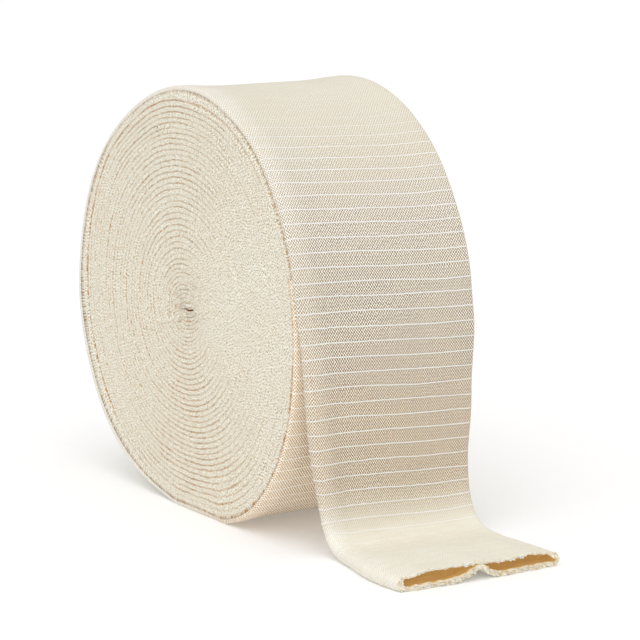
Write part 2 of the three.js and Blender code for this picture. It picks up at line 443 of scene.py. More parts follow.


# Shares of the outside by its place along the bandage and round the tube: where the raised threads
# show (down the front, faintly on the top, the flat and below), where the knit is stretched so that
# its gaps are open (down the front and below the hanging part), where painted light makes it paler
# beside the near fold, where painted warm shade darkens it (low on the front and most below), and
# the flat.
def outsideShares(tree, look, along, around):
    down = times(tree, ramp(tree, along, *look["threadFrom"], look["threadTop"], 1.0),
                 ramp(tree, along, *look["threadTo"], 1.0, look["threadFlat"]))
    shows = sums(tree, "MAXIMUM", down, ramp(tree, along, *look["threadBack"], look["threadBelow"], 0.0))
    tight = times(tree, ramp(tree, along, *look["tightFrom"]), ramp(tree, along, *look["tightTo"], 1.0, 0.0))
    tight = sums(tree, "MAXIMUM", tight, ramp(tree, along, *look["tightBack"], 1.0, 0.0))
    # the distance from the near fold is counted both ways round the tube
    fromFold = sums(tree, "PINGPONG", around, cloth["round"] / 2 * mm)
    # painted light: paler yarn and lighter gaps beside the near fold
    fold = ramp(tree, fromFold, *look["foldReach"], look["foldPaintedLight"], 0.0)
    # painted warm shade: tan low on the front, and more on the roll's underside
    warm = times(tree, ramp(tree, along, *look["lowerFrom"], 0.0, look["lowerShade"]), tight)
    warm = sums(tree, "MAXIMUM", warm, ramp(tree, along, *look["tightBack"], look["underShade"], 0.0))
    return shows, tight, fold, warm, ramp(tree, along, *look["tightTo"])


# Painted shade in the gaps between turns on the faces: dashes where the cosine of the stitch length
# and some noise are low, broken by a coarser noise and bridged by the threads.
def grooveShadeDashes(tree, look, uv, along, rough, thread):
    stitch = plus(tree, cosine(tree, along, look["stitch"] * mm), times(tree, rough, look["stitchRough"]))
    breaks = noise(tree, uv, look["breakScale"], 1.0)[0]
    dashes = times(tree, ramp(tree, thread, 0.0, 1.0, 1.0, look["threadBridge"]),
                   ramp(tree, stitch, *look["dashReach"], 1.0, look["bridge"]))
    return times(tree, dashes, ramp(tree, breaks, *look["breakReach"], look["bridge"], 1.0))


# what all the knit's materials have
knitFinish = {
    "bumpDistance": 0.0003, "grainRise": 0.35,
    "shader": {"Roughness": 0.92, "Sheen Weight": 0.12, "Sheen Roughness": 0.5, "Specular IOR Level": 0.2},
}


# Cloth: from gap to yarn colour by the loops, then one colour over the other by its share: paler
# grain, warmer rows and patches, the outside's painted light and warm shade, the faces' painted
# gap shade, threads and flecks. Loops, threads and grain are the relief.
def makeKnit(name, look):
    material, tree = newMaterial(name)
    tint = {key: shade(*value) for key, value in look.items() if isinstance(value, tuple) and len(value) == 3}
    tint["speck"] = shade(*clothTone["speck"])
    uv = put(tree, "UVMap", {"uv_map": "knit"}).outputs[0]
    where = put(tree, "TexCoord").outputs["Object"]
    along, around = put(tree, "SeparateXYZ", Vector=uv).outputs[:2]
    knit = put(tree, "Group", {"node_tree": knitGroup}, Place=uv, Rows=look["rows"],
               Course=look["course"] * mm, Wale=look["wale"] * mm, Waver=look["waver"] * mm,
               GrainScale=look["grainScale"])
    tone = put(tree, "Group", {"node_tree": toneGroup}, Place=where)
    loop, thread, grain, streak = knit.outputs
    rough = times(tree, lessHalf(tree, grain), look["rough"])
    raised = sums(tree, "MULTIPLY_ADD", lessHalf(tree, loop), look["loopShare"], 0.5)
    shown = ramp(tree, plus(tree, raised, rough), look["gapFrom"], look["gapTo"])
    gap, yarnTint = tint["gap"], tint["yarn"]
    layers = [
        (times(tree, grain, look["grain"]), "pale"), (times(tree, streak, look["streak"]), "warm"),
        (times(tree, tone.outputs["Tone"], look["slow"]), "warm"),
    ]
    if "tan" in look:
        shows, tight, fold, warm, flat = outsideShares(tree, look, along, around)
        thread = times(tree, thread, shows)
        # painted light beside the near fold: lighter gaps and paler yarn
        gap = blend(tree, fold, gap, tint["foldLitGap"])
        gap = blend(tree, tight, blend(tree, flat, tint["slackGap"], tint["flatGap"]), gap)
        yarnTint = blend(tree, fold, blend(tree, tight, tint["slackYarn"], yarnTint), tint["pale"])
        # painted warm shade low on the front and on the roll's underside
        layers.append((warm, "tan"))
    if "grooveShade" in look:
        # painted warm shade in the gaps between turns, as much as the gapShade attribute says
        deep = put(tree, "Attribute", {"attribute_name": "gapShade"}).outputs["Fac"]
        layers.append((times(tree, deep, grooveShadeDashes(tree, look, uv, along, rough, thread)), "grooveShade"))
    layers.append((times(tree, thread, look["threadShare"]), "thread"))
    layers.append((times(tree, tone.outputs["Fleck"], look["fleck"]), "speck"))
    colour = blend(tree, shown, gap, yarnTint)
    for share, label in layers:
        colour = blend(tree, share, colour, tint[label])
    height = plus(tree, loop, times(tree, thread, look["threadRise"]))
    height = plus(tree, height, times(tree, grain, knitFinish["grainRise"]))
    bump = (look["relief"], knitFinish["bumpDistance"])
    shader = putShader(tree, colour, height, bump, knitFinish["shader"])
    if "paintedGlow" in look:
        # painted glow, no lamp: an emission of the cloth's own colour over all the inside of the tube, and
        # on the outside only where the roll nears the floor
        if "paintedUnderGlow" in look:
            colour = blend(tree, ramp(tree, along, *look["paintedUnderGlow"], 1.0, 0.0), (0, 0, 0, 1), colour)
        tree.links.new(colour, shader.inputs["Emission Color"])
        shader.inputs["Emission Strength"].default_value = look["paintedGlow"]
    return material


outsideLook = {
    "course": cloth["course"], "wale": cloth["wale"], "rows": 0.15, "waver": 0.15, "grainScale": 1500.0,
    "loopShare": 1.0, "rough": 0.4, "gapFrom": 0.45, "gapTo": 0.57,
    "yarn": (255, 251, 238), "gap": (102, 66, 26), "slackYarn": (240, 237, 222), "slackGap": (224, 216, 197),
    # painted light and shade: foldLitGap lightens the gaps beside the near fold, tan is painted warm shade
    "foldLitGap": (160, 134, 96), "flatGap": (236, 231, 214), "tan": (208, 164, 104),
    "pale": (255, 253, 246), "warm": (222, 206, 176), "thread": (246, 246, 245),
    # from here on places along the bandage in metres, and shares
    "threadFrom": (-0.085, -0.052), "threadTo": (0.084, 0.104), "threadBack": (-0.26, -0.21),
    "threadTop": 0.10, "threadFlat": 0.08, "threadBelow": 0.65, "threadShare": 0.8,
    "tightFrom": (-0.115, 0.02), "tightTo": (0.066, 0.092), "tightBack": (-0.42, -0.36),
    # lowerShade and underShade: how much painted warm shade lies low on the front and on the roll's underside
    "lowerFrom": (0.000, 0.055), "lowerShade": 0.16, "underShade": 0.18,
    # foldPaintedLight: how much paler, as painted light, the yarn is beside the near fold
    "foldReach": (0.004, 0.012), "foldPaintedLight": 0.90, "grain": 0.10, "slow": 0.12, "streak": 0.16,
    # paintedGlow and paintedUnderGlow: a painted glow, an emission that lightens the roll's underside
    "fleck": 0.8, "threadRise": 0.4, "relief": 0.35, "paintedUnderGlow": (-0.45, -0.37), "paintedGlow": 0.28,
}
edgeLook = {
    "course": 1.25, "wale": 3.4, "rows": 0.0, "waver": 0.6, "grainScale": 1500.0,
    "loopShare": 0.6, "rough": 2.6, "gapFrom": -0.10, "gapTo": 0.75,
    "yarn": (254, 250, 236), "gap": (164, 148, 110), "pale": (255, 253, 247), "warm": (224, 207, 174),
    # grooveShade: the colour of the painted shade in the gaps between turns
    "thread": (252, 251, 248), "grooveShade": (186, 136, 66), "stitch": 2.725, "stitchRough": 0.7,
    "dashReach": (-0.1, 0.7), "breakScale": 430.0, "breakReach": (0.36, 0.50), "bridge": 0.35,
    "threadBridge": 0.25, "grain": 0.15, "threadShare": 0.45, "slow": 0.10, "streak": 0.12,
    "fleck": 0.9, "threadRise": 0.3, "relief": 0.3,
}
# inside the tube: the same cream cloth, given a darker ochre colour as painted warm shade, and a painted glow
insideShadeLook = {
    "course": cloth["course"], "wale": cloth["wale"], "rows": 0.12, "waver": 0.3, "grainScale": 1500.0,
    "loopShare": 0.3, "rough": 0.9, "gapFrom": 0.0, "gapTo": 0.9,
    "yarn": (241, 221, 162), "gap": (222, 193, 131), "pale": (244, 228, 180), "warm": (218, 182, 112),
    "thread": (238, 218, 164), "grain": 0.15, "threadShare": 0.35, "slow": 0.55, "streak": 0.7,
    "fleck": 0.0, "threadRise": 0.3, "relief": 0.5, "paintedGlow": 0.155,
}
outsideKnit = makeKnit("outside_knit", outsideLook)
edgeKnit = makeKnit("edge_knit", edgeLook)
insideShadeKnit = makeKnit("inside_shade_knit", insideShadeLook)

yarn = {
    "cream": ((236, 220, 188), (255, 251, 238)),
    "white": ((250, 250, 248), (255, 255, 254)),
    "scale": 900.0, "reach": (0.35, 0.65), "bump": (0.5, 0.0001),
    "shader": {"Roughness": 0.9, "Sheen Weight": 0.12},
}


# frayed yarn: two tones by fine noise on the object's own coordinates
def makeYarn(name, first, second):
    material, tree = newMaterial(name)
    where = put(tree, "TexCoord").outputs["Object"]
    fibre = noise(tree, where, yarn["scale"], 2.0, flat=False)[0]
    colour = blend(tree, ramp(tree, fibre, *yarn["reach"]), shade(*first), shade(*second))
    putShader(tree, colour, fibre, yarn["bump"], yarn["shader"])
    return material


creamYarn = makeYarn("cream_yarn", *yarn["cream"])
whiteYarn = makeYarn("white_yarn", *yarn["white"])
print("materials ready")


# the cloth of the outermost turn and the loose end: one flattened tube
tube = {
    "length": 141.0,
    "tableBlend": 15.0,       # over which the loose end takes over from the roll
    "looseBy": 25.0,          # where the tube is fully loose
    "foldReach": 0.17,        # share of the width over which a fold's thickness runs out, loose
    "woundReach": 0.12,       # and on the roll
    "farLobeDrop": 0.03,      # how much flatter the far lobe is, from here on
    "farLobeBy": 20.0,
    "mouthBow": 1.4,          # how far the mouth bows out, and from where, over what length
    "bowAt": (110, 30),
    "waistPlaces": (0, 1.7, 4.5, 10, 20),  # from the edge, and how much of the waist's dip is there
    "waistShares": (0, 0, 0.1, 0.6, 1),
    "mostWall": 0.49,         # share of the tube's thickness that a wall may take
    "outerSteps": 44,
    "lowerSteps": 44,
    "foldSteps": 8,
    "layerSpan": 73.3,
    "foldSpan": 3.5,
    "crowd": 0.5,             # how much closer the columns stand at the middle, where the crease is
    "rowPhases": (0.0, 0.1, 0.3, 0.5, 0.7, 0.9),    # rows in one thread step, the first on the thread
    "rowRidges": (1.0, 0.12, 0.0, 0.0, 0.0, 0.12),  # and how much of its rise they have
    "endRoom": (0.5, 0.8),    # that rows keep from the start and the mouth
    "threadRise": 0.16,
    "riseFrom": (-90, 40),    # threads stand up from here on, over what length, and less on the flat
    "riseTo": (80, 18),
    "riseLost": 0.8,
    "riseLeast": 0.35,
    "riseWave": (0.3, 7.3, 30, 11),  # share, how much faster along than round, length and seed
    # swells of the cloth: height, share of the way along and round, length, seed
    "swells": ((0.10, 1.0, 0.6, 34, 12), (0.08, 0.4, -1.0, 21, 13)),
    "swellAt": (-30, 40),
    "threadWave": (0.12, 31, 40, 14),  # how far a thread bends, step from thread to thread, length, seed
    "straightBy": 12.0,       # from the mouth, where threads bend no more
    "tear": ((0.4, 9), (0.32, 2.2)),   # of the cut edge: heights and lengths
    "tearSeed": 15,
    "tornAt": (136, 5),
    "edgeWander": 0.15,
    "wanderWaves": ((55, 17), (48, 18)),  # length and seed at the near and far edge
    "wanderAt": (120, 20),
    "least": 0.02,            # height over the floor
    "innerSteps": (20, 22, 132, 3.0),  # wound rows to here, then from, to, step
    "innerLast": (133, 135.5, 137.5, 139.2, 140.3),
    "woundUntil": 5.0,
    "woundGap": 0.12,         # between the middle and a wall, wound
    "lowerLip": 1.9,          # thickness of the frayed lower edge, of the folds and of the upper edge
    "foldLip": 1.5,
    "upperLip": 0.85,
    "lipWave": (0.22, 6, 19),
    "lipPower": 1.5,
    "cutRound": 0.45,         # how far the edge stands out at the mouth, and its place past the length
    "cutPlace": 0.4,
}
crease = {
    "place": 0.50, "nearReach": 0.10, "farReach": 0.05, "power": 1.25, "length": 30.0, "lift": 4.5,
    "bump": 0.45, "dipPlace": 0.66, "dipReach": 0.10, "dip": 0.9, "pinch": 2.1,
}
# along the loose end: run, the near and far folded edges, and the thickness at near, middle and far
tubeTable = np.array([
    [0, 82.97, -37.7, 92.04, 82.97, 37.7, 92.04, 2.1, 2.1, 2.1],
    [12, 85.2, -37.5, 80.3, 84.7, 37.6, 80.3, 2.5, 2.2, 2.2],
    [22, 86.8, -37.0, 70.5, 84.9, 37.2, 70.4, 3.6, 2.8, 2.7],
    [42, 88.8, -36.0, 50.6, 84.5, 36.6, 50.4, 5.2, 3.4, 3.8],
    [62, 90.2, -34.4, 30.8, 84.3, 35.6, 30.6, 5.6, 3.6, 4.6],
    [74, 91.0, -32.6, 19.0, 85.8, 34.9, 18.8, 5.4, 3.6, 4.6],
    [82, 92.2, -31.4, 11.2, 89.0, 34.5, 11.6, 4.8, 3.6, 4.2],
    [88, 95.0, -30.8, 6.0, 93.0, 34.2, 7.2, 4.6, 3.6, 4.0],
    [94, 100.2, -30.8, 3.2, 98.4, 34.0, 4.0, 4.8, 3.8, 4.0],
    [106, 112.0, -32.4, 2.5, 110.0, 33.8, 2.3, 5.0, 5.4, 4.6],
    [120, 125.6, -34.8, 2.6, 122.8, 34.2, 2.5, 5.2, 6.6, 5.0],
    [132, 137.2, -35.0, 2.6, 134.0, 34.8, 2.6, 5.2, 6.8, 5.2],
    [141, 145.6, -34.0, 2.6, 143.4, 35.2, 2.65, 5.2, 6.9, 5.3],
])

# the outer skin from where the loose end leaves back round to the start of the cloth, and the way
# along the middle of the cloth
turnDepths = np.linspace(0, 1 + roll["overlap"], 3000)
turnAngles = roll["leaveAngle"] + turn * turnDepths
turnMiddle = rollPoint(turnAngles, turnRadius(turnDepths) - cloth["thickness"] / 2)
turnArc = wayAlong(np.stack(turnMiddle, -1))
clothStart = -turnArc[-1]


# 0 to 1 from a place on, over a length
def after(run, start, length):
    return smooth((run - start) / length)


# Near and far folded edges and three thicknesses. For a run below 0 the cloth is on the roll: its
# skin is the evenly wound one plus what the rim table adds, its fold reaches in to the first gap,
# and its edge is half the width out, less what is drawn back. After 0 they follow the table.
def clothEdges(runs):
    depth = np.interp(-runs, turnArc, turnDepths)
    angle = roll["leaveAngle"] + turn * depth
    sides = []
    for facing in (-1, 1):
        rim = rimAt(angle, facing)
        thick = cloth["thickness"] + rim[:, firstIn] + rim[:, foldOut]
        x, z = rollPoint(angle, turnRadius(depth) + rim[:, foldOut] - thick / 2)
        sides.append((x, facing * (cloth["width"] / 2 - rim[:, edgeBack]), z, thick))
    near, far = sides
    wound = np.stack([*near[:3], *far[:3], near[3], np.full_like(runs, cloth["thickness"]), far[3]], -1)
    loose = hermite(np.maximum(runs, 0), tubeTable[:, 0], tubeTable[:, 1:])
    start = tubeTable[0, 1:]
    loose += (wound[np.argmin(np.abs(runs))] - start) * (1 - after(runs, 0, tube["tableBlend"]))[:, None]
    return np.where(runs[:, None] <= 0, wound, loose)


# bells across the tube at the crease and beside it, fading in along the last stretch to the mouth
def creaseShares(run, across):
    along = after(run, tube["length"] - crease["length"], crease["length"])
    reach = np.where(across < crease["place"], crease["nearReach"], crease["farReach"])
    fold = along * np.exp(-(np.abs((across - crease["place"]) / reach) ** crease["power"]))
    beside = along * np.exp(-(((across - crease["dipPlace"]) / crease["dipReach"]) ** 2))
    return fold, beside


# Round the tube from the near fold: part (0 outer layer, 1 far fold, 2 lower layer, 3 near fold),
# how far across it is, how far round the fold, and roughly the distance round the tube.
def clothColumns():
    steps = (tube["outerSteps"], tube["foldSteps"], tube["lowerSteps"], tube["foldSteps"])
    part = np.repeat(np.arange(4), steps)
    share = np.concatenate([np.arange(n) / n for n in steps])
    share = share + tube["crowd"] * np.sin(turn * share) / turn * (part % 2 == 0)
    across = np.select([part == 0, part == 1, part == 2], [share, 1.0, 1 - share], 0.0)
    fold = np.select([part == 1, part == 3], [np.pi * share, np.pi - np.pi * share], 0.0)
    spans = np.array([tube["layerSpan"], tube["foldSpan"]] * 2)
    starts = np.append(0, np.cumsum(spans)[:-1])
    return part, across, fold, starts[part] + spans[part] * share


# Points and outward directions of the flattened tube, rows along and columns round it: straight
# between its folds and half circles at the folds. On the roll the outer layer is the straight one
# and the thickness goes inwards, loose the lower one is; it dips at the waist of the roll, and at
# the mouth the lower layer rises into a crease.
def tubeSection(runs, inset):
    part, across, fold, _ = clothColumns()
    edges = clothEdges(runs)
    slope = (clothEdges(runs + 0.5) - clothEdges(runs - 0.5))[:, None]
    near, far = edges[:, None, 0:3], edges[:, None, 3:6]
    span = np.linalg.norm(far - near, axis=-1, keepdims=True)
    side = (far - near) / span
    a = across[None, :, None]
    along = unit(mix(slope[..., 0:3], slope[..., 3:6], a))
    normal = unit(np.cross(along, side))
    nearHalf, middleThick, farHalf = edges[:, None, 6] / 2, edges[:, None, 7], edges[:, None, 8] / 2
    run = runs[:, None]
    loose = after(run, 0, tube["looseBy"])
    bow = tube["mouthBow"] * after(run, *tube["bowAt"]) * 4 * across * (1 - across)
    centre = near + side * (nearHalf[..., None] + (span - (nearHalf + farHalf)[..., None]) * a)
    centre = centre + along * bow[..., None]
    foldReach = mix(tube["woundReach"], tube["foldReach"], loose)
    nearShare = 1 - smooth(across / foldReach)
    farShare = 1 - smooth((1 - across) / foldReach)
    creased, beside = creaseShares(run, across)
    middle = middleThick * (1 - tube["farLobeDrop"] * across * after(run, 0, tube["farLobeBy"]))
    thick = middle + (edges[:, None, 6] - middle) * nearShare + (edges[:, None, 8] - middle) * farShare
    thick = thick + crease["bump"] * creased - crease["dip"] * beside
    foldHeight = mix(nearHalf, farHalf, across)
    top = mix(foldHeight, thick - foldHeight, loose)
    bottom = top - thick + crease["lift"] * creased
    fromEdge = np.minimum(across, 1 - across) * cloth["width"]
    dip = np.interp(fromEdge, tube["waistPlaces"], tube["waistShares"]) * roll["waist"] * (1 - loose)
    wall = np.minimum(inset, (top - bottom) * tube["mostWall"])
    layer = np.where(part == 0, top - wall, bottom + wall) - dip
    turned = np.where(part == 1, farHalf, nearHalf) - inset
    outward = np.where(part == 1, 1.0, -1.0)
    folded = (part == 1) | (part == 3)
    rise = np.where(folded, turned * np.cos(fold) - dip, layer)
    reach = np.where(folded, turned * np.sin(fold) * outward, 0)
    points = centre + normal * rise[..., None] + side * reach[..., None]
    facing = np.where(folded, np.cos(fold), np.where(part == 0, 1.0, -1.0))
    sideways = np.where(folded, np.sin(fold) * outward, 0.0)
    out = normal * facing[..., None] + side * sideways[..., None]
    return points, out, along


# Distance round each row of points, measured from the middle of the outer layer and stretched to
# the same whole way round; one more column closes it.
def waysRound(points):
    steps = np.linalg.norm(np.roll(points, -1, axis=1) - points, axis=-1)
    ways = np.concatenate([np.zeros((len(points), 1)), np.cumsum(steps, axis=1)], axis=1)
    middle = ways[:, tube["outerSteps"] // 2][:, None]
    return (ways - middle) * cloth["round"] / ways[:, -1:] + cloth["round"] / 4


# how far the rows are torn ahead near the cut edge
def tornAhead(run, place):
    return wobbles(place, tube["tear"], tube["tearSeed"]) * after(run, *tube["tornAt"])


# rows of the outside, on the threads and between them, with its ridges, swells and torn edge
def outerWall(part, across, place):
    phases = np.array(tube["rowPhases"])
    length, step = tube["length"], cloth["threadStep"]
    steps = np.arange(np.floor(clothStart / step) - 1, np.ceil(length / step) + 1)
    runs = ((steps[:, None] + phases) * step + cloth["threadPlace"]).ravel()
    ridge = np.tile(np.interp(phases, tube["rowPhases"], tube["rowRidges"]), len(steps))
    keep = (runs > clothStart + tube["endRoom"][0]) & (runs < length - tube["endRoom"][1])
    runs = np.concatenate([[clothStart], runs[keep], [length]])
    ridge = np.concatenate([[0], ridge[keep], [0]])

    points, out, along = tubeSection(runs, 0.0)
    ways = waysRound(points)
    run = runs[:, None]
    # threads stand up less on the flat of the loose end and on the top of the roll
    front = after(run, *tube["riseFrom"]) * (1 - tube["riseLost"] * after(run, *tube["riseTo"]))
    share, faster, wave, seed = tube["riseWave"]
    strength = np.maximum(front, tube["riseLeast"]) * (1 + share * wobble(run * faster + place, wave, seed))
    relief = tube["threadRise"] * ridge[:, None] * strength
    swell = sum(
        height * wobble(a * run + b * place, wave, seed) for height, a, b, wave, seed in tube["swells"])
    points = points + out * (relief + swell * after(run, *tube["swellAt"]))[..., None]
    height, apart, wave, seed = tube["threadWave"]
    bend = height * wobble(place + apart * np.round(run / step), wave, seed) - skewAt(place)
    ahead = bend * smooth((length - run) / tube["straightBy"]) + tornAhead(run, place)
    points = points + along * ahead[..., None]
    # the folded edges wander a little to the sides
    calm = 1 - after(run, *tube["wanderAt"])
    nearWander, farWander = (tube["edgeWander"] * wobble(run, *wave) for wave in tube["wanderWaves"])
    points[..., 1] += nearWander * calm * np.where(across < 0.5, 1 - 2 * across, 0)
    points[..., 1] -= farWander * np.where(across > 0.5, 2 * across - 1, 0)
    points[..., 2] = np.maximum(points[..., 2], tube["least"])
    return runs, points, ways, along[-1] + 0 * points[-1], out[-1]


# rows of the inside: the wall is thin, half of the cloth where it is wound, and thicker at the
# frayed lower edge
def innerWall(part, across, place):
    woundTo, start, stop, step = tube["innerSteps"]
    runs = np.concatenate([
        np.arange(clothStart, woundTo, cloth["threadStep"]), np.arange(start, stop, step),
        tube["innerLast"], [tube["length"]],
    ])
    share, wave, seed = tube["lipWave"]
    lip = np.select([part == 0, part == 2], [tube["upperLip"], tube["lowerLip"]], tube["foldLip"])
    lip = lip * (1 + share * wobble(place, wave, seed))
    lip = np.maximum(lip, crease["pinch"] * creaseShares(np.array([tube["length"]]), across)[0])
    woundWall = cloth["thickness"] / 2 - tube["woundGap"]
    flatWall = np.where(runs < tube["woundUntil"], woundWall, cloth["wall"])[:, None]
    run = runs[:, None]
    walls = mix(flatWall, lip, after(run, *tube["tornAt"]) ** tube["lipPower"])
    points, _, along = tubeSection(runs, walls)
    points = points + along * tornAhead(run, place)[..., None]
    points[..., 2] = np.maximum(points[..., 2], tube["least"] + np.minimum(walls, 1.0))
    return runs, points


# The two walls are joined at both cut ends, with one rounded row between them at the mouth, so the
# piece is one closed tube.
def buildCloth():
    part, across, _, roundPlace = clothColumns()
    columns = len(across)
    runs, points, ways, along, out = outerWall(part, across, roundPlace[None, :])
    innerRuns, inner = innerWall(part, across, roundPlace[None, :])
    edge = (points[-1] + inner[-1]) / 2 + along * tube["cutRound"]
    allPoints = np.concatenate([points.reshape(-1, 3), edge, inner[::-1].reshape(-1, 3)])
    gridRows = len(runs) + 1 + len(innerRuns)
    quads, cornerRow, cornerColumn = gridQuads(gridRows, columns)
    last = (gridRows - 1) * columns
    c = np.arange(columns)
    closing = np.stack([last + c, c, (c + 1) % columns, last + (c + 1) % columns], -1)

    rowPlaces = np.concatenate([runs, [tube["length"] + tube["cutPlace"]], innerRuns[::-1]])
    roundPlaces = np.concatenate([ways, ways[-1:], waysRound(inner)[::-1]])
    uv = np.stack([rowPlaces[cornerRow], roundPlaces[cornerRow, cornerColumn]], -1) * mm
    closingPlaces = np.stack([ways[0, c], ways[0, c], ways[0, c + 1], ways[0, c + 1]], -1)
    closingUv = np.stack([np.full((columns, 4), clothStart), closingPlaces], -1) * mm
    # the rounded edge keeps the outer finish; inside the tube the cloth is coloured darker and warmer as
    # painted shade
    slots = np.concatenate([np.where(cornerRow[:, 0] > len(runs), 1, 0), np.zeros(columns, int)])
    piece = makePiece(
        "loose_end_cloth", allPoints, [quads, closing], [uv, closingUv], [outsideKnit, insideShadeKnit], slots)
    thick = np.linalg.norm(points[-1] - inner[-1], axis=-1)
    return piece, SimpleNamespace(points=edge, along=along, out=out, thick=thick, part=part, across=across)


clothPiece, mouthRim = buildCloth()

# the turns of the roll under that cloth
turns = {
    "perTurn": 216,
    "shares": (0.0, 0.09, 0.24, 0.76, 0.91),  # across one turn, from gap to gap
    "rise": (0.0, 0.62, 0.94, 0.94, 0.62),    # of its rounded fold out of the gap
    # painted shade in the gaps: gapShadeTones and flankShade say where across a turn it shows
    "gapShadeTones": (1.0, 1.0, 0.0, 0.0, 1.0),    # where across a turn the gap's colour shows
    "flankShade": (0.9, 0.25),                 # of it beside the gap, and how much less at the top
    "endThickness": 0.4,
    "faceInset": 0.25,
    "dimple": 1.2,
    "dimpleReach": 8.0,
    "calmReach": 10.0,
    # random lines, height and length: how open a gap looks, how wide and deep it is, where it lies,
    # how far a turn stands out, its bumps, and the rumpled middle
    "openMean": 0.88,
    "openLeast": 0.03,
    "openWaves": ((0.20, 210), (0.22, 26)),
    "gapLeast": 0.10,
    "gapMost": 0.36,
    "gapWaves": ((0.2, 14),),
    "swayWaves": ((0.096, 9), (0.096, 31)),
    "standWaves": ((0.14, 90), (0.10, 24)),
    "bumpWaves": ((0.07, 6.5), (0.07, 15)),
    "roughWaves": ((0.55, 7),),
    "roughReach": 11.0,
    "wideFold": (0.8, 2.4, 1.1),  # least and most thickness of a turn that widens its gap, and the power
    "underEnd": (0.97, 0.03),     # the first gap runs under the outer fold so far round, in turns
    "tuck": (0.625, 0.073),       # of the outer fold's radius that its end lies in and back
    "hair": 0.04,
    "lean": 0.8,                  # share of the drawn back edge that the next shoulder follows
    "leanAt": (0.9, 1.6),
    # underFoldShade: painted warm shade in the first gap, under the outer fold
    "underFoldShade": (0.55, 0.35, np.radians(30)),  # the first gap's colour: mean, swing and angle
    "wholeAt": 2 * turn + np.radians(190),     # the second gap is a nearly whole line about here
    "wholeReach": np.radians(60),
    "wholeLine": 1.1,
    "aroundFold": 3.4,            # the way over one fold, for its stitches
    "loopDrift": (1.3, 45, 29),   # how far the loops run out of step, over what length, and its seed
    "farPlace": 75,               # round the tube, of the far face
    # painted shade: at this place along the cloth the slit's walls take the full gap shade
    "slitPlace": 4.09,            # along the cloth, where a dash of the gap's colour stands
    "slitDepth": 0.8,
    "slitRings": ((1.6, 0.9), (4.0, 0.72), (8.0, 0.5)),  # further in, and how much narrower
    "slitEnd": 9.0,
    # the hidden skin: distance from the edges, and how far it dips there and in the middle
    "skinInsets": (1.3, 5.0, 10.0, 20.0),
    "skinDips": (0.1, 0.3, 0.75, 1.15),
    "skinWaist": 1.15,
}
# how open the gaps look, by angle in degrees: middle and reach of bells
openness = {
    "top": (106, 60), "bottom": (275, 50),
    "core": (112, 60, 0.80, 0.14), "coreAt": (30, 12),  # its share and least, and where it ends, over what
    "sides": (0.38, 0.30), "smoothPatch": (205, 40, 0.4), "patchAt": (48, 18), "farTurn": 140,
    "firstAt": (1, 0.9), "secondAt": (2, 1.2),          # turns in, where the rim table gives over
}


# the spiral from the start of the cloth inwards: turns in, angle, mean radius at a gap and across
# the turn, and place along the bandage
def windSpiral():
    per = turns["perTurn"]
    firstDepth = 1 + roll["overlap"]
    lastDepth = np.interp(-(roll["coreRadius"] + turns["endThickness"]), -radiusGrid, depthGrid)
    count = int((lastDepth - firstDepth) * per)
    depth = firstDepth + np.arange(count + 1) / per
    angle = roll["leaveAngle"] + turn * depth
    outer = turnRadius(depth)
    shares = np.array(turns["shares"])
    mean = mix(outer[:, None], turnRadius(depth + 1)[:, None], shares)
    arc = clothStart - wayAlong(np.stack(rollPoint(angle, outer), -1))
    return SimpleNamespace(
        per=per, count=count, depth=depth, angle=angle, angles=angle[:, None] + 0 * mean, outer=outer,
        mean=mean, shares=shares, arc=arc, size=mean.size)


spiral = windSpiral()


# a bell of the distance from the middle
def bell(value, middle, reach):
    return np.exp(-(((value - middle) / reach) ** 2))


# how open the gaps between turns look: most over and under the middle, less at the sides, faint in a
# smooth patch on the left, and as the rim table says in the outer turns
# it sets both how deep the gaps are and how strong their painted shade is
def gapStrength(angle, mean, facing):
    degrees = np.mod(np.degrees(angle) + (0 if facing < 0 else openness["farTurn"]), 360)
    coreMiddle, coreReach, coreShare, coreLeast = openness["core"]
    coreEnd, coreFade = openness["coreAt"]
    core = coreShare * bell(degrees, coreMiddle, coreReach) + coreLeast
    core = core * smooth((coreEnd - mean) / coreFade)
    sides = openness["sides"][0] - openness["sides"][1] * np.cos(np.radians(degrees))
    strength = np.maximum(bell(degrees, *openness["top"]), bell(degrees, *openness["bottom"]))
    strength = np.maximum(strength, np.maximum(core, sides))
    patchMiddle, patchReach, patchShare = openness["smoothPatch"]
    patch = bell(degrees, patchMiddle, patchReach) * after(mean, *openness["patchAt"])
    strength = strength * (1 - patchShare * patch)
    rim = rimAt(angle, facing) / (1 if facing < 0 else farRim)
    turnsIn = turnsFromSkin(angle, mean)
    strength = mix(rim[..., secondOpen], strength, after(turnsIn, *openness["secondAt"]))
    strength = mix(rim[..., firstOpen], strength, after(turnsIn, *openness["firstAt"]))
    return np.clip(strength, 0, 1)


# what a value is one turn further in; the last turn keeps its end value
def nextTurn(values):
    return np.append(values[spiral.per:], np.full(spiral.per, values[-1]))
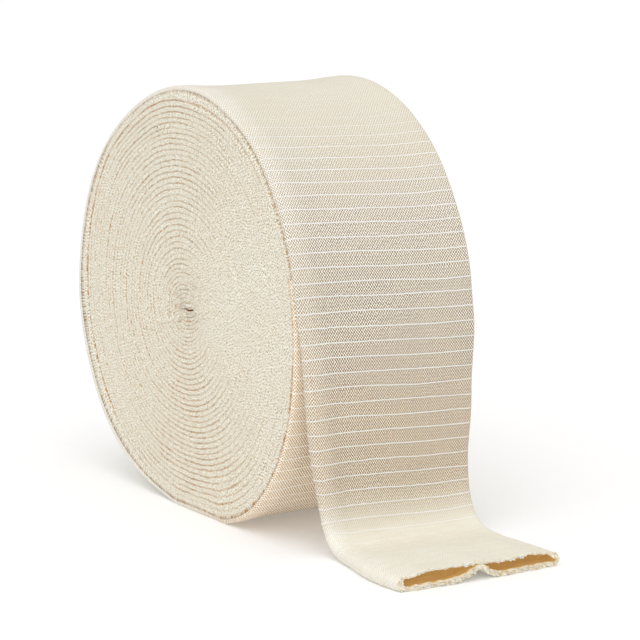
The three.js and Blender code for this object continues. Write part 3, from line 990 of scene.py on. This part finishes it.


# A face: across one turn five points rise from the gap over the rounded fold. Its height is half
# the width, less the dimple at the centre, the wander of the turn and the gap's depth times what is
# left of the fold's rise. The gaps lie where the rings are, shifted as the rim table says, and sway
# a little. Its tone says how much of the painted shade in the gap shows.
def buildFace(facing, seed):
    angle, arc, outer, mean, shares = spiral.angle, spiral.arc, spiral.outer, spiral.mean, spiral.shares
    rise = np.array(turns["rise"])
    half = cloth["width"] / 2
    calm = smooth(outer / turns["calmReach"])[:, None]
    strength = gapStrength(angle, outer, facing)
    strength = strength * (turns["openMean"] + wobbles(arc, turns["openWaves"], seed))
    strength = np.clip(strength, turns["openLeast"], 1)
    gapLine = outer - faceShift(angle, outer, facing)
    thickness = (gapLine - nextTurn(gapLine)) / roll["turnPitch"]
    thickness[-spiral.per:] = 1
    opened = mix(turns["gapLeast"], turns["gapMost"], strength)
    opened = opened * (1 + wobbles(arc, turns["gapWaves"], seed + 2))
    least, most, power = turns["wideFold"]
    wideFold = np.clip(thickness, least, most)[:, None] ** power
    gap = np.where(shares < 0.5, opened[:, None], nextTurn(opened)[:, None]) * wideFold
    gapSway = wobbles(arc, turns["swayWaves"], seed + 3)
    sway = mix(gapSway[:, None], nextTurn(gapSway)[:, None], shares) * calm

    # the first gap, under the outer fold: it lies where a half circle of half the fold's thickness
    # has turned 68 degrees up from its lowest point, and a hair inside that
    rim = rimAt(angle, facing)
    under = 1 - after(np.arange(len(angle)), *(spiral.per * share for share in turns["underEnd"]))
    foldRadius = (cloth["thickness"] + rim[:, firstIn] + rim[:, foldOut]) / 2
    tuckIn, tuckBack = turns["tuck"]
    tuck = under * (tuckIn * foldRadius + turns["hair"])
    outerRun = -np.interp(spiral.depth - 1, turnDepths, turnArc)
    wander = tube["edgeWander"] * wobble(outerRun, *tube["wanderWaves"][0 if facing < 0 else 1])
    edge = half - rim[:, edgeBack] - tuckBack * foldRadius - turns["hair"] - wander
    first = (np.arange(len(shares)) == 0).astype(float)
    shifted = mean - faceShift(spiral.angles, mean, facing) + sway * (1 - under[:, None] * first)
    x, z = rollPoint(spiral.angles, shifted + tuck[:, None] * first)

    stand = wobbles(arc, turns["standWaves"], seed + 5)[:, None]
    bumps = wobbles(arc, turns["bumpWaves"], seed + 7)[:, None]
    dimple = turns["dimple"] * bell(mean, 0, turns["dimpleReach"])
    height = half - dimple - turns["faceInset"] - (stand - bumps * rise) * (rise > 0) - gap * (1 - rise)
    rough = wobbles(arc[:, None] + 3 * mean, turns["roughWaves"], seed + 9)
    rough = rough * bell(mean, 0, turns["roughReach"])
    # the shoulder beside the first gap leans the same way
    turnsIn = turnsFromSkin(spiral.angles, mean)
    lean = rimAt(spiral.angles, facing)[..., edgeBack] * (rise < 0.9)
    lean = lean * (1 - after(turnsIn, *turns["leanAt"]))
    height = mix(height + rough - turns["lean"] * lean, edge[:, None], under[:, None] * first)

    # the second gap's painted shade is a nearly whole line on the left of the near face
    whole = bell(angle, turns["wholeAt"], turns["wholeReach"]) * (facing < 0)
    shown = strength * (1 + turns["wholeLine"] * whole)
    strong = np.where(shares < 0.5, shown[:, None], nextTurn(shown)[:, None])
    # under the outer fold the gap carries painted warm shade all the way round
    warmMean, warmSwing, warmAngle = turns["underFoldShade"]
    underFoldShade = under * (warmMean + warmSwing * np.cos(angle + warmAngle))
    strong = np.maximum(strong, underFoldShade[:, None] * (shares < 0.2))
    # the painted shade lines are thinner at the top
    flank = turns["flankShade"][0] - turns["flankShade"][1] * np.maximum(np.sin(angle), 0) ** 2
    # each point's share of the painted gap shade
    tones = strong * np.where(shares < 0.05, 1.0, flank[:, None] * np.array(turns["gapShadeTones"]))
    return np.stack([x, facing * height, z], -1).reshape(-1, 3), tones.ravel()


# number of a point on the strip: near face (side 0) or far (1), i along, k across
def at(side, i, k):
    return side * spiral.size + i * len(spiral.shares) + k


# quads of the far side run the other way, so that all faces look outwards
def turnedFor(side, faces):
    return faces if side == 0 else faces[:, ::-1]


# Each face is a spiral strip: the last cell across reaches the first point of the next turn, or in
# the innermost turn the ring round the slit.
def faceCells(side):
    per, count, width = spiral.per, spiral.count, len(spiral.shares)
    i = np.arange(count)
    share, wave, seed = turns["loopDrift"]
    # the loops run out of step with those of the next turn
    place = spiral.arc + share * wobble(spiral.arc, wave, seed)
    place = np.stack([place[i], place[i + 1], place[i + 1], place[i]], -1) + skewAt(turns["farPlace"] * side)
    acrossPlace = (np.append(spiral.shares, 1.0) - 0.5) * turns["aroundFold"]
    ringPlace = 2 * spiral.size + side * per + (i - (count - per))
    cells, cellUv = [], []
    for k in range(width):
        if k + 1 < width:
            right, rightNext = at(side, i, k + 1), at(side, i + 1, k + 1)
        else:
            right, rightNext = (
                np.where(inTurn <= count, at(side, np.minimum(inTurn, count), 0), ring)
                for inTurn, ring in ((i + per, ringPlace - 1), (i + 1 + per, ringPlace)))
        quad = np.stack([at(side, i, k), at(side, i + 1, k), rightNext, right], -1)
        roundUv = np.broadcast_to(acrossPlace[[k, k, k + 1, k + 1]], quad.shape)
        cells.append(turnedFor(side, quad))
        cellUv.append(turnedFor(side, np.stack([place, roundUv], -1) * mm))
    return cells, cellUv


def buildTurns():
    per, count, width = spiral.per, spiral.count, len(spiral.shares)
    half = cloth["width"] / 2
    points, tones = zip(*(buildFace(facing, seed) for facing, seed in ((-1, 30), (1, 60))))
    points = list(points)
    cells, cellUv = [], []
    for side in (0, 1):
        sideCells, sideUv = faceCells(side)
        cells += sideCells
        cellUv += sideUv

    # adds faces that all have one place along the bandage
    def addPlain(faces, place=0.0):
        cells.append(faces)
        cellUv.append(np.full((*faces.shape, 2), place * mm))

    # the ring round the slit in the middle, and its walls going in
    innerRing = np.arange(count - per + 1, count + 1)
    ringMean = np.maximum(turnRadius(spiral.depth[innerRing] + 1), roll["coreRadius"])
    ringX, ringZ = rollPoint(spiral.angle[innerRing], ringMean)
    ringHeight = half - turns["dimple"] - turns["slitDepth"]
    for facing in (-1, 1):
        points.append(np.stack([ringX, np.full(per, facing * ringHeight), ringZ], -1))
    total = 2 * (spiral.size + per)
    for side, facing in ((0, -1), (1, 1)):
        loop = np.concatenate([[at(side, count, 0)], 2 * spiral.size + side * per + np.arange(per),
                               [at(side, count, k) for k in range(width - 1, 0, -1)]])
        rim = np.concatenate(points)[loop]
        middle = rim.mean(axis=0)
        rings = [loop]
        for inwards, shrink in turns["slitRings"]:
            deeper = middle + (rim - middle) * shrink
            deeper[:, 1] = facing * (ringHeight - inwards)
            points.append(deeper)
            rings.append(total + np.arange(len(loop)))
            total += len(loop)
        points.append(np.array([[middle[0], facing * (ringHeight - turns["slitEnd"]), middle[2]]]))
        n = np.arange(len(loop))
        m = (n + 1) % len(loop)
        for first, second in zip(rings, rings[1:]):
            wall = np.stack([first[n], first[m], second[m], second[n]], -1)
            addPlain(turnedFor(side, wall), turns["slitPlace"])
        fan = np.stack([rings[-1][n], rings[-1][m], np.full(len(n), total)], -1)
        addPlain(turnedFor(side, fan), turns["slitPlace"])
        total += 1

    # the hidden skin under the outer turn, dipping at the waist and under the thick folds, and the
    # step where it starts
    skin = np.arange(per + 1)
    insets = np.array(turns["skinInsets"])
    foldShares = 1 - smooth(insets / cloth["width"] / tube["woundReach"])
    skinRows = [at(0, skin, 0)]
    for across, dip, folds in zip(
        [*(insets - half), 0, *(half - insets)[::-1]],
        [*turns["skinDips"], turns["skinWaist"], *turns["skinDips"][::-1]],
        [*foldShares, 0, *foldShares[::-1]],
    ):
        thicker = np.maximum(rimAt(spiral.angle[skin], np.sign(across) or -1)[:, firstIn], 0) * folds
        skinX, skinZ = rollPoint(spiral.angle[skin], spiral.outer[skin] - dip - thicker)
        points.append(np.stack([skinX, np.full(per + 1, across), skinZ], -1))
        skinRows.append(total + skin)
        total += per + 1
    skinRows.append(at(1, skin, 0))
    for first, second in zip(skinRows, skinRows[1:]):
        addPlain(np.stack([first[:-1], second[:-1], second[1:], first[1:]], -1))
    addPlain(np.array([[one[0], one[-1], two[-1], two[0]] for one, two in zip(skinRows, skinRows[1:])]))
    for side in (0, 1):
        addPlain(turnedFor(side, np.array([[at(side, 0, k) for k in range(width)] + [at(side, per, 0)]])))

    # beyond the faces only the slit shows, in the full painted shade of the gaps
    tone = np.ones(total)
    tone[:2 * spiral.size] = np.concatenate(tones)
    return makePiece("wound_turns", np.concatenate(points), cells, cellUv, [edgeKnit], tones=tone)


turnsPiece = buildTurns()

# the frayed yarn at the cut mouth
fray = {
    "seed": 5, "loops": 800, "sides": 5, "steps": 8,
    "weights": (1.0, 4.6, 2.4, 4.6),  # how thick the loops stand on the upper edge, folds and lower edge
    "lowerYarn": 0.19, "upperYarn": 0.14, "lowerReach": (0.35, 0.95), "upperReach": (0.25, 0.6),
    "scatter": 0.4, "mostThick": 2.2, "offset": 0.42, "lean": (-0.5, 0.9), "skew": 0.5, "arc": (-0.15, 1.15),
    "wide": (0.45, 0.8), "rooted": 0.40, "yarnVaries": (0.75, 1.25), "taper": 0.55,
    # white ends of elastic: on the upper (0) or lower (2) edge, how far across
    "tufts": ((0, 0.39), (0, 0.76), (2, 0.10), (2, 0.33), (2, 0.72)), "tuftEnds": 12, "tuftYarn": 0.12,
    "tuftSpread": 0.35, "tuftStray": 0.8, "tuftCurl": 0.6, "tuftRooted": 0.3, "tuftLength": (0.5, 1.0),
    "least": 0.22,                    # height of a yarn's middle over the floor
    "nearby": 0.3,                    # columns either way that the way along the rim is taken over
}


# tubes along many paths at once: rings of points square to each path, closed at both ends
def sweepYarn(paths, radius):
    count, steps, _ = paths.shape
    sides = fray["sides"]
    ahead = unit(np.gradient(paths, axis=1))
    first = unit(np.cross(ahead, np.array([0.31, 0.52, 0.79])))  # a way that hardly any yarn runs along
    second = np.cross(ahead, first)
    angles = turn * np.arange(sides) / sides
    taper = np.ones(steps)
    taper[[0, -1]] = fray["taper"]
    ring = first[:, :, None] * np.cos(angles)[:, None] + second[:, :, None] * np.sin(angles)[:, None]
    points = paths[:, :, None] + ring * (radius[:, None] * taper)[..., None, None]
    r, c = np.meshgrid(np.arange(steps - 1), np.arange(sides), indexing="ij")
    quad = np.stack([r * sides + c, r * sides + (c + 1) % sides,
                     (r + 1) * sides + (c + 1) % sides, (r + 1) * sides + c], -1).reshape(-1, 4)
    start = (np.arange(count) * steps * sides)[:, None, None]
    caps = np.stack([np.arange(sides)[::-1], (steps - 1) * sides + np.arange(sides)])
    return points.reshape(-1, 3), (quad + start).reshape(-1, 4), (caps + start).reshape(-1, sides)


# values of the rim between its columns, by a straight line
def onRim(values, place):
    columns = len(values)
    closed = np.concatenate([values, values[:1]]).reshape(columns + 1, -1)
    wrapped = np.mod(place, columns)
    found = [np.interp(wrapped, np.arange(columns + 1), closed[:, k]) for k in range(closed.shape[1])]
    return np.stack(found, -1).reshape(*wrapped.shape, *values.shape[1:])


# Small loops of yarn: half turns on the cut edge, leaning out or on along it, thickest on the lower
# edge and the folds, and a few white tufts of elastic ends.
def buildFray():
    dice = np.random.default_rng(fray["seed"])
    rim, part, count = mouthRim.points, mouthRim.part, fray["loops"]
    columns = len(rim)
    steps = np.linalg.norm(np.roll(rim, -1, axis=0) - rim, axis=1)
    weight = np.array(fray["weights"])[part] * steps
    shares = np.append(0, np.cumsum(weight)) / weight.sum()
    spread = (np.arange(count) + dice.uniform(-fray["scatter"], fray["scatter"], count)) / count
    place = np.interp(np.mod(spread, 1), shares, np.arange(columns + 1))
    lower = (part[np.floor(place).astype(int) % columns] != 0)
    base = onRim(rim, place)
    along = unit(onRim(mouthRim.along, place))
    out = unit(onRim(mouthRim.out, place))
    tangent = unit(onRim(rim, place + fray["nearby"]) - onRim(rim, place - fray["nearby"]))
    thick = np.minimum(onRim(mouthRim.thick, place), fray["mostThick"])
    lowerReach, upperReach = (dice.uniform(*fray[key], count) for key in ("lowerReach", "upperReach"))
    reach = np.where(lower, lowerReach, upperReach)
    offset = dice.uniform(-fray["offset"], fray["offset"], count) * thick
    lean = dice.uniform(*fray["lean"], count) + offset / thick
    skew = dice.uniform(-fray["skew"], fray["skew"], count)
    t = np.linspace(*fray["arc"], fray["steps"]) * np.pi
    tall = unit(along + out * lean[:, None] + tangent * skew[:, None])
    wide = dice.uniform(*fray["wide"], count)
    paths = (base - along * fray["rooted"] + out * offset[:, None])[:, None]
    paths = paths + tangent[:, None] * (np.cos(t)[None] * (reach * wide)[:, None])[..., None]
    paths = paths + tall[:, None] * (np.sin(t)[None] * reach[:, None])[..., None]
    radius = np.where(lower, fray["lowerYarn"], fray["upperYarn"]) * dice.uniform(*fray["yarnVaries"], count)

    # white ends: short curls from a few places on the edge
    spots = [np.argmin(np.abs(mouthRim.across - far) + (part != layer) * 9) for layer, far in fray["tufts"]]
    ends = len(spots) * fray["tuftEnds"]
    spot = np.repeat(spots, fray["tuftEnds"]) + dice.normal(0, fray["tuftSpread"], ends)
    s = np.linspace(0, 1, fray["steps"])
    aim = unit(onRim(mouthRim.along, spot) + dice.normal(0, fray["tuftStray"], (ends, 3)))
    curl = dice.normal(0, fray["tuftCurl"], (ends, 3))
    tufts = (onRim(rim, spot) - fray["tuftRooted"] * onRim(mouthRim.along, spot))[:, None]
    tufts = tufts + aim[:, None] * s[None, :, None] * dice.uniform(*fray["tuftLength"], ends)[:, None, None]
    tufts = tufts + fray["tuftCurl"] * curl[:, None] * np.sin(s * np.pi)[None, :, None]
    allPaths = np.concatenate([paths, tufts])
    allPaths[..., 2] = np.maximum(allPaths[..., 2], fray["least"])
    points, quads, caps = sweepYarn(allPaths, np.concatenate([radius, np.full(ends, fray["tuftYarn"])]))
    white = np.repeat([0, 1], [count, ends])
    slots = np.concatenate([np.repeat(white, len(quads) // len(allPaths)), np.repeat(white, 2)])
    uvs = [np.zeros((*quads.shape, 2)), np.zeros((*caps.shape, 2))]
    return makePiece("mouth_fray", points, [quads, caps], uvs, [creamYarn, whiteYarn], slots)


frayPiece = buildFray()

for piece in (clothPiece, turnsPiece, frayPiece):
    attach(piece, "root")
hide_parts("wound_roll")
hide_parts("loose_end")
print("cloth from", round(clothStart, 1), "to", tube["length"])

studio = {
    "floor": 0.90,
    "floorGlow": 0.13,
    "worldStrength": 0.60,
    "suns": {  # where the light comes from, strength, spread in degrees
        "softKey": ((0.30, -0.28, 0.90), 1.30, 60),
        "frontFill": ((0.88, -0.46, 0.12), 0.34, 50),
    },
    "cameraPlace": (1.02884, -0.59825, 0.28703),
    "cameraAim": (0.012202, 0.015343, 0.070207),
    "lens": 176.52,
}


# a wide plain floor that is lit from inside a little, so that shadows on it stay light
def stageFloor():
    mesh = bpy.data.meshes.new("floor")
    mesh.from_pydata([(-9, -9, 0), (9, -9, 0), (9, 9, 0), (-9, 9, 0)], [], [(0, 1, 2, 3)])
    floor = bpy.data.objects.new("floor", mesh)
    material = bpy.data.materials.new("pale_floor")
    material.use_nodes = True
    shader = material.node_tree.nodes["Principled BSDF"]
    for label, value in (
        ("Base Color", (studio["floor"],) * 3 + (1,)), ("Roughness", 1.0), ("Specular IOR Level", 0.0),
        ("Emission Color", (1, 1, 1, 1)), ("Emission Strength", studio["floorGlow"]),
    ):
        shader.inputs[label].default_value = value
    mesh.materials.append(material)
    bpy.context.scene.collection.objects.link(floor)


def stageLights():
    world = bpy.data.worlds.new("studio")
    world.use_nodes = True
    background = world.node_tree.nodes["Background"]
    background.inputs[0].default_value = (1.0, 1.0, 1.0, 1)
    background.inputs[1].default_value = studio["worldStrength"]
    bpy.context.scene.world = world
    for name, (place, strength, spread) in studio["suns"].items():
        lamp = bpy.data.lights.new(name, "SUN")
        lamp.energy = strength
        lamp.angle = np.radians(spread)
        lightObject = bpy.data.objects.new(name, lamp)
        lightObject.location = place
        lightObject.rotation_euler = Vector(place).to_track_quat("Z", "Y").to_euler()
        bpy.context.scene.collection.objects.link(lightObject)


def stageCamera():
    place, aim = Vector(studio["cameraPlace"]), Vector(studio["cameraAim"])
    back = (place - aim).normalized()
    right = Vector((0, 0, 1)).cross(back).normalized()
    up = back.cross(right)
    data = bpy.data.cameras.new("camera")
    data.lens = studio["lens"]
    data.sensor_width = 36
    data.clip_end = 60
    camera = bpy.data.objects.new("camera", data)
    camera.matrix_world = Matrix((
        (right.x, up.x, back.x, place.x), (right.y, up.y, back.y, place.y),
        (right.z, up.z, back.z, place.z), (0, 0, 0, 1),
    ))
    bpy.context.scene.collection.objects.link(camera)
    bpy.context.scene.camera = camera


stageFloor()
stageLights()
stageCamera()
bpy.context.scene.view_settings.view_transform = "Standard"
print("stage ready")
